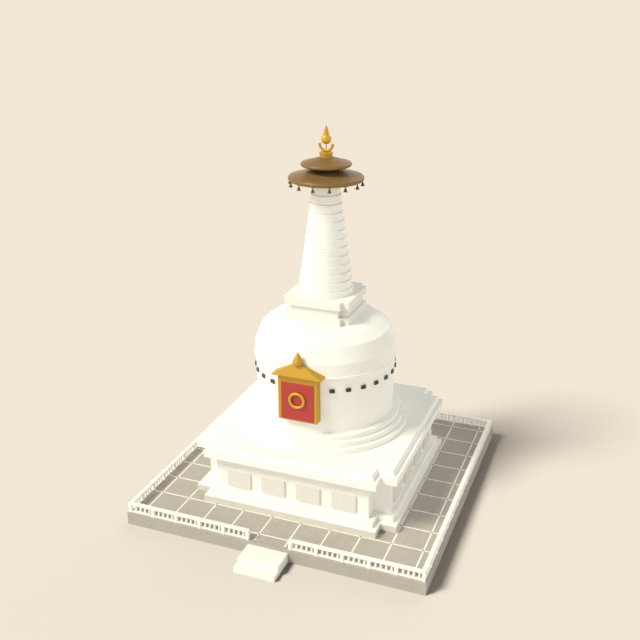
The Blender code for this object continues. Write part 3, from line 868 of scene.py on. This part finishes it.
def balustrades(material):
    """Five runs: the front's two halves and the back go round the corners, the sides between them."""
    corner = RAIL_OUTER - RAIL_WIDTH / 2
    outer = RAIL_OUTER + CAP_OVERHANG
    gate = GATE_HALF_WIDTH + POST_WIDTH / 2
    inner = GATE_HALF_WIDTH + GATE_RAIL_GAP
    reach = RAIL_OUTER - RAIL_WIDTH - CAP_OVERHANG - CAP_INNER_LIP - SIDE_RAIL_GAP
    front = (FRONT_BAYS, FRONT_BALUSTERS)
    side = (SIDE_BAYS, SIDE_BALUSTERS)
    balustrade("balustrade_front_left", (-outer, -inner), (-corner, -gate), *front, 0, material)
    balustrade("balustrade_front_right", (inner, outer), (gate, corner), *front, 0, material)
    balustrade("balustrade_back", (-outer, outer), (-corner, corner), *side, 2, material)
    balustrade("balustrade_right", (-reach, reach), (-corner, corner), *side, 1, material, False)
    balustrade("balustrade_left", (-reach, reach), (-corner, corner), *side, 3, material, False)


def plinth(white, plate_stone, foot_stone):
    """Stepped courses of the plinth, the stone foot under them, and the plates on its waist."""
    shapes = {
        "plinth_foot": (FOOT_LIP, FOOT_LIP),
        "plinth_moulding": (MOULDING_INSET, MOULDING_INSET),
        "plinth_waist": (WAIST_INSET, WAIST_INSET),
        "plinth_cornice": (CORNICE_INSET, CORNICE_INSET),
        "plinth_upper_slab": UPPER_SLAB_INSETS,
    }
    cover = PLINTH_COVER
    low, high = span("plinth_foot")
    profile = [(cover, low), (0.0, low), (0.0, high - FOOT_WASH), (cover, high - FOOT_WASH)]
    piece("plinth_foot_stone", stepped_solid(ARM_OUT, ARM_HALF, profile), foot_stone)
    for node, (inset_low, inset_high) in shapes.items():
        low, high = span(node)
        if node == "plinth_foot":
            low = high - FOOT_WASH - SOFT_EDGE
        profile = [
            (inset_low + cover, low), (inset_low, low), (inset_high, high), (inset_high + cover, high)]
        piece(f"{node}_plaster", stepped_solid(ARM_OUT, ARM_HALF, profile), white, [node])
    face = ARM_OUT - WAIST_INSET
    plates = []
    for side in range(4):
        for k in range(PLATE_COUNT):
            x = (k - (PLATE_COUNT - 1) / 2) * PLATE_PITCH
            low = (x - PLATE_WIDTH / 2, -face - PLATE_PROUD, PLATE_BOTTOM)
            high = (x + PLATE_WIDTH / 2, -face + PLATE_BURIED, PLATE_TOP)
            plates.append(moved(soft_box(low, high, PLATE_EDGE), turn_by(side)))
    piece("waist_plates", merge(plates), plate_stone)


def across_corners(node, sides):
    """Radius of the circle round a node that is cut to flat sides."""
    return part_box(node)[1].x / math.cos(math.pi / sides)


def round_body(white, iron):
    """Three round courses, the drum with its vents, the shoulder and the dome."""
    for k in range(1, COURSE_COUNT + 1):
        node = f"round_course_{k}"
        low, high = span(node)
        radius = across_corners(node, COURSE_CAD_SIDES)
        ledge = radius - COURSE_LEDGE
        profile = [(ledge, low), (radius, low), (radius, high), (ledge, high)]
        course = revolve(profile, BODY_SIDES, COURSE_EDGE)
        piece(f"{node}_plaster", course, white, [node])
    drum = revolve(smooth_curve(DRUM_PROFILE, CURVE_STEPS), BODY_SIDES)
    piece("drum_wall", drum, white, ["drum"], level=False)
    shoulder = revolve(SHOULDER_PROFILE, BODY_SIDES, SHOULDER_EDGE)
    piece("shoulder_plaster", shoulder, white, ["shoulder_band"])
    dome = revolve(smooth_curve(DOME_PROFILE, DOME_STEPS), BODY_SIDES)
    piece("dome_plaster", dome, white, ["dome"], level=False)
    vent = vent_mesh()
    vents = []
    for k in range(VENT_COUNT):
        from_niche = 360 * k / VENT_COUNT
        if min(from_niche, 360 - from_niche) > NICHE_CLEAR_DEG:
            vents.append(moved(vent, around(math.radians(from_niche + FRONT_DEG), z=VENT_Z)))
    piece("drum_vents", merge(vents), iron)


def vent_mesh():
    """A proud frame round slanted louvres, facing local +X."""
    wide = VENT_WIDTH / 2
    tall = VENT_HEIGHT / 2
    bars = [
        soft_box((VENT_ROOT, y0, z0), (VENT_REACH, y1, z1), VENT_EDGE)
        for y0, z0, y1, z1 in (
            (-wide, tall - VENT_FRAME, wide, tall), (-wide, -tall, wide, -tall + VENT_FRAME),
            (-wide, -tall, -wide + VENT_FRAME, tall), (wide - VENT_FRAME, -tall, wide, tall))]
    back_wide = wide - VENT_BACK_INSET
    back_tall = tall - VENT_BACK_INSET
    bars.append(soft_box(
        (VENT_ROOT, -back_wide, -back_tall), (VENT_REACH - VENT_DEPTH, back_wide, back_tall),
        VENT_BACK_EDGE))
    blade_high = (LOUVRE_HALF_DEPTH, wide - LOUVRE_END_GAP, LOUVRE_HALF_THICK)
    blade_low = tuple(-value for value in blade_high)
    blade = soft_box(blade_low, blade_high, LOUVRE_EDGE, steps=1)
    tilt = math.radians(LOUVRE_TILT_DEG)
    clear = VENT_HEIGHT - 2 * VENT_FRAME
    for k in range(LOUVRE_COUNT):
        z = -tall + VENT_FRAME + clear * (k + 0.5) / LOUVRE_COUNT

        def lean(v, z=z):
            x = v.x * math.cos(tilt) - v.z * math.sin(tilt)
            up = -v.x * math.sin(tilt) + v.z * math.cos(tilt)
            return (x + VENT_REACH - LOUVRE_SET_BACK, v.y, up + z)
        bars.append(moved(blade, lean))
    return merge(bars)


def niche(gilt, bright, red):
    """The gilt box, its red panel and ring, and the low roof with its spike."""
    low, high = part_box("niche_surround")
    surround = soft_box(low, (high.x, -NICHE_BURIED, high.z), NICHE_EDGE, steps=3)
    piece("niche_frame", surround, gilt, ["niche_surround"])
    low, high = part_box("niche_panel")
    panel_low = (low.x, low.y + PANEL_SET_BACK, low.z)
    panel = soft_box(panel_low, (high.x, high.y + PANEL_BURIED, high.z), PANEL_EDGE, steps=3)
    piece("niche_red_panel", panel, red, ["niche_panel"])
    low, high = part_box("niche_ring")
    centre = (low + high) / 2
    centre.y += PANEL_SET_BACK
    ring = shifted(torus(RING_RADIUS, RING_TUBE, RING_STEPS, TUBE_SIDES), *centre)
    piece("niche_gilt_ring", ring, bright, ["niche_ring"])
    spike_low, spike_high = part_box("niche_spike")
    radius = (spike_high.x - spike_low.x) / 2
    spike_y = spike_low.y + radius
    niche_roof(gilt, spike_y)
    rise = spike_high.z - spike_low.z
    shape = [(radius * out, spike_low.z - SPIKE_SINK + rise * up) for out, up in SPIKE_SHAPE]
    spike = revolve(smooth_curve([*shape, (TIP_RADIUS, spike_high.z)], CURVE_STEPS), TIP_SIDES)
    piece("niche_gilt_spike", shifted(spike, y=spike_y), gilt, ["niche_spike"])


def niche_roof(gilt, apex_y):
    """A low hipped roof with softly rounded eaves and hips."""
    low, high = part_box("niche_roof")
    side = [(ROOF_UNDER_SHARE, low.z), (1.0, low.z), (1.0, low.z + ROOF_EAVE), (ROOF_FLAT_SHARE, high.z)]
    rings = []
    for scale, z in fillet(side, ROOF_EAVE_EDGE, steps=2):
        front = apex_y + (low.y - apex_y) * scale
        rear = apex_y + (-ROOF_BACK - apex_y) * scale
        half = high.x * scale
        plan = rectangle(-half, front, half, rear)
        rings.append(at_level(fillet(plan, ROOF_HIP_EDGE * scale, steps=2, closed=True), z))
    piece("niche_gilt_roof", ring_stack(rings), gilt, ["niche_roof"])


def block(cream):
    """The stepped square block between the dome and the spire."""
    for node, inset in (("block_base", 0.0), ("block_waist", BLOCK_WAIST_INSET), ("block_cap", 0.0)):
        low, high = span(node)
        if node == "block_base":
            low = BLOCK_BURIED
        cover = inset + BLOCK_COVER
        profile = [(cover, low), (inset, low), (inset, high), (cover, high)]
        mesh = stepped_solid(BLOCK_OUT, BLOCK_HALF, profile, BLOCK_EDGE)
        piece(f"{node}_plaster", mesh, cream, [node])


def spire(white):
    """Thirteen rings, each on a shadow joint and a flat ledge, and the neck under the canopies."""
    low, high = span("spire_rings")
    widest, narrowest = SPIRE_RADII
    profile = []
    for i in range(SPIRE_RINGS):
        radius = widest + (narrowest - widest) * i / (SPIRE_RINGS - 1)
        joint_top = low + (GROOVE_HEIGHT if i else 0.0)
        profile.append((radius - GROOVE_DEPTH, low))
        if i:
            profile.append((radius - GROOVE_DEPTH, joint_top))
        profile.append((radius, joint_top))
        low = SPIRE_FIRST_TOP + i * SPIRE_PITCH
        profile.append((radius, low))
    profile.extend([(NECK_RADIUS, low), (NECK_RADIUS, high)])
    piece("spire_plaster", revolve(profile, SPIRE_SIDES, SPIRE_EDGE), white, ["spire_rings"])


def canopy_profile(radius, low, rim, cone_radius, cone_top):
    """Flat underside, a half-round rim and a shallow cone."""
    points = [(cone_radius * CANOPY_UNDER_SHARE, low)]
    for k in range(RIM_STEPS + 1):
        turn = math.radians(-90 + 180 * k / RIM_STEPS)
        points.append((radius - rim + rim * math.cos(turn), low + rim + rim * math.sin(turn)))
    rim_radius, rim_top = points[-1]
    for k in range(1, CONE_STEPS + 1):
        t = k / CONE_STEPS
        points.append((rim_radius + (cone_radius - rim_radius) * t, rim_top + (cone_top - rim_top) * t))
    return points


def hinge_level():
    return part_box("spire_rings")[1].z - HINGE_DROP


def at_bell(mesh, k):
    """The mesh put at bell number k, its local X outwards and its origin on the hinge."""
    angle = math.radians(FRONT_DEG) + 2 * math.pi * k / BELL_COUNT
    return moved(mesh, around(angle, BELL_PATH_RADIUS, hinge_level()))


def canopies(metal, neck_shade_metal):
    """Two bronze canopies, the neck between them, and the bars that the bells hang from."""
    under = span("spire_rings")[1]
    top = span("lower_canopy")[1]
    radius = across_corners("lower_canopy", CANOPY_CAD_SIDES)
    lower = canopy_profile(radius, under, LOWER_RIM, LOWER_NECK_RADIUS, LOWER_CONE_TOP)
    piece("canopy_lower", revolve(lower, CANOPY_SIDES), metal, ["lower_canopy"])
    inner = LOWER_NECK_RADIUS - NECK_SET_BACK
    collar_low, collar_high = NECK_COLLAR
    neck = [
        (LOWER_NECK_RADIUS, LOWER_CONE_TOP - NECK_SINK), (LOWER_NECK_RADIUS, LOWER_CONE_TOP + collar_low),
        (inner, LOWER_CONE_TOP + collar_high), (inner, top)]
    # The neck and the bell staples take the near-black bronze: painted shade for the shadow under the
    # upper canopy.
    piece("canopy_neck", revolve(neck, CANOPY_SIDES, FINE_EDGE), neck_shade_metal)
    staple = staple_mesh()
    staples = [at_bell(staple, k) for k in range(BELL_COUNT)]
    piece("bell_staples", merge(staples), neck_shade_metal)
    low, high = span("upper_canopy")
    radius = across_corners("upper_canopy", CANOPY_CAD_SIDES)
    upper = canopy_profile(radius, low, UPPER_RIM, UPPER_FLAT_RADIUS, high)
    piece("canopy_upper", revolve(upper, CANOPY_SIDES), metal, ["upper_canopy"])


def staple_mesh():
    """The bar that a bell hangs from, and the two legs that hold it."""
    parts = [ring_stack([[(x, y, z) for x, z in circle(BAR_RADIUS, BAR_SIDES)]
                         for y in (-STAPLE_HALF, STAPLE_HALF)])]
    leg_x, leg_y = STAPLE_LEG
    leg = soft_box(
        (-leg_x, -leg_y, -STAPLE_FOOT), (leg_x, leg_y, HINGE_DROP + STAPLE_SINK), STAPLE_EDGE)
    parts.extend(shifted(leg, y=side * STAPLE_HALF) for side in (-1, 1))
    return merge(parts)


def bell_profile():
    """Outside and inside of a flared bell, below its loop."""
    top = -LOOP_RADIUS - LOOP_TUBE + LOOP_BURIED
    outside = [(radius, top - drop) for radius, drop in BELL_CROWN]
    for share, drop in smooth_curve(BELL_SHAPE, BELL_STEPS):
        outside.append((BELL_RADIUS * share, top - drop * BELL_HEIGHT))
    inside = [(radius - BELL_WALL, z) for radius, z in reversed(outside[BELL_HOLLOW_START:])]
    inside[0] = (inside[0][0] + BELL_LIP, inside[0][1])
    return outside + inside


def bells(metal):
    """Hollow bells, each riding on its own body and hanging from its bar by a loop."""
    body = revolve(bell_profile(), BELL_SIDES)
    loop = torus(LOOP_RADIUS, LOOP_TUBE, LOOP_STEPS, LOOP_SIDES)
    middle = -LOOP_RADIUS - BELL_BAND_SHARE * BELL_HEIGHT
    low = middle - BELL_BAND_HALF
    high = middle + BELL_BAND_HALF
    inner = BELL_BAND_RADIUS - BELL_BAND_DEPTH
    shoulder = BELL_BAND_RADIUS - BELL_BAND_SLOPE
    band = revolve(
        [(inner, high), (shoulder, high), (BELL_BAND_RADIUS, middle), (shoulder, low), (inner, low)],
        BELL_SIDES)
    bell = merge([body, loop, band])
    for k in range(BELL_COUNT):
        name = f"bell_{k + 1:02d}"
        piece(f"bronze_{name}", at_bell(bell, k), metal, [name], body=name)


def finial(gilt, bright):
    """Collar, crescent, ball on a stem, and flame."""
    low, high = span("finial_collar")
    low -= COLLAR_SINK
    collar = [
        (COLLAR_RADIUS - COLLAR_LEDGE, low), (COLLAR_RADIUS, low), (COLLAR_RADIUS, COLLAR_MID),
        (COLLAR_RING_RADIUS, COLLAR_MID + COLLAR_RING_RISE),
        (COLLAR_RING_RADIUS, high - COLLAR_TOP_SLOPE), (COLLAR_RADIUS, high), (COLLAR_TOP_RADIUS, high)]
    mesh = revolve(collar, FINIAL_SIDES, FINE_EDGE)
    piece("gilt_collar", mesh, gilt, ["finial_collar"])
    horns = torus(MOON_RADIUS, MOON_TUBE, MOON_STEPS, TUBE_SIDES, math.pi, 2 * math.pi, whole=False)
    horns = shifted(horns, z=span("finial_moon")[1])
    piece("gilt_crescent", horns, gilt, ["finial_moon"])
    start = -math.acos(STEM_RADIUS / SUN_RADIUS)
    end = math.acos(FLAME_BASE_RADIUS / SUN_RADIUS)
    ball = [(STEM_RADIUS, span("finial_sun")[0] - STEM_SINK)]
    for i in range(SUN_STEPS + 1):
        turn = start + (end - start) * i / SUN_STEPS
        ball.append((SUN_RADIUS * math.cos(turn), SUN_Z + SUN_RADIUS * math.sin(turn)))
    piece("gilt_ball", revolve(ball, FINIAL_SIDES), bright, ["finial_sun"])
    low, high = span("finial_flame")
    shape = [(FLAME_BASE_RADIUS * out, low - FLAME_SINK + (high - low) * up) for out, up in FLAME_SHAPE]
    flame = smooth_curve([*shape, (TIP_RADIUS, high)], CURVE_STEPS)
    piece("gilt_flame", revolve(flame, TIP_SIDES), gilt, ["finial_flame"])


def sky():
    """A studio sky that is bright round the horizon and dim overhead."""
    world = bpy.data.worlds.new("studio_sky")
    world.use_nodes = True
    nodes = world.node_tree.nodes
    links = world.node_tree.links
    direction = nodes.new("ShaderNodeTexCoord")
    split = nodes.new("ShaderNodeSeparateXYZ")
    blend = nodes.new("ShaderNodeMix")
    blend.data_type = "RGBA"
    blend.inputs[6].default_value = (*HORIZON_COLOUR, 1.0)
    blend.inputs[7].default_value = (*ZENITH_COLOUR, 1.0)
    links.new(direction.outputs["Generated"], split.inputs[0])
    links.new(split.outputs["Z"], blend.inputs[0])
    links.new(blend.outputs[2], nodes["Background"].inputs["Color"])
    return world


def lamp(name, elevation, azimuth, strength, softness, colour):
    """A sun lamp that shines from the given direction."""
    light = bpy.data.lights.new(name, "SUN")
    light.energy = strength
    light.angle = math.radians(softness)
    light.color = colour
    made = bpy.data.objects.new(name, light)
    made.rotation_euler = (math.radians(90 - elevation), 0.0, math.radians(azimuth + 90))
    bpy.context.scene.collection.objects.link(made)
    return made


def studio():
    """Floor, sky, lamps and the camera that was fitted to the photo."""
    scene = bpy.context.scene
    scene.view_settings.view_transform = "Standard"
    scene.world = sky()
    mesh = bpy.data.meshes.new("studio_floor")
    rim = at_level(circle(FLOOR_RADIUS, FLOOR_SIDES), 0.0)
    mesh.from_pydata(rim, [], [tuple(range(FLOOR_SIDES))])
    mesh.materials.append(floor_paper())
    floor = bpy.data.objects.new("studio_floor", mesh)
    scene.collection.objects.link(floor)

    lamp("key_lamp", *KEY_LAMP)
    lamp("fill_lamp", *FILL_LAMP)
    # These lamps shine on the floor alone, so the shadow there is deep while the walls stay open.
    floor_only = bpy.data.collections.new("floor_only")
    floor_only.objects.link(floor)
    for name, values in (("floor_lamp", FLOOR_LAMP), ("floor_fill_lamp", FLOOR_FILL_LAMP)):
        lamp(name, *values).light_linking.receiver_collection = floor_only

    lens = bpy.data.cameras.new("photo_camera")
    lens.lens = CAMERA_LENS
    lens.sensor_width = CAMERA_SENSOR
    lens.clip_end = CAMERA_REACH
    camera = bpy.data.objects.new("photo_camera", lens)
    camera.location = CAMERA_PLACE
    camera.rotation_euler = (math.radians(CAMERA_TILT_DEG), 0.0, math.radians(CAMERA_TURN_DEG))
    scene.collection.objects.link(camera)
    scene.camera = camera


def build():
    studio()
    white = lime_wash("lime_wash", WALL_WHITE)
    pale = stone("pale_carved_stone")
    gilt = gilding("gilding", GILT)
    # The lighter gilt is painted light for the ball and the ring.
    bright = gilding("gilding_with_painted_light", GILT_WITH_PAINTED_LIGHT)
    terrace_facing(stone("facing_stone"))
    terrace_core(stone("mortar"))
    deck_pavers(paver_stone())
    deck_bands(stone("band_stone"), stone("inlay_stone"))
    stair(pale)
    balustrades(pale)
    plinth(white, stone("plate_stone"), stone("foot_stone"))
    round_body(white, vent_iron())
    niche(gilt, bright, lacquer())
    block(lime_wash("cream_wash", BLOCK_CREAM))
    spire(white)
    canopies(bronze("brown_bronze", *CANOPY_BRONZE), bronze("neck_painted_shade_bronze", *NECK_SHADE_BRONZE))
    bells(bronze("dark_bronze", *BELL_BRONZE))
    finial(gilt, bright)


build()
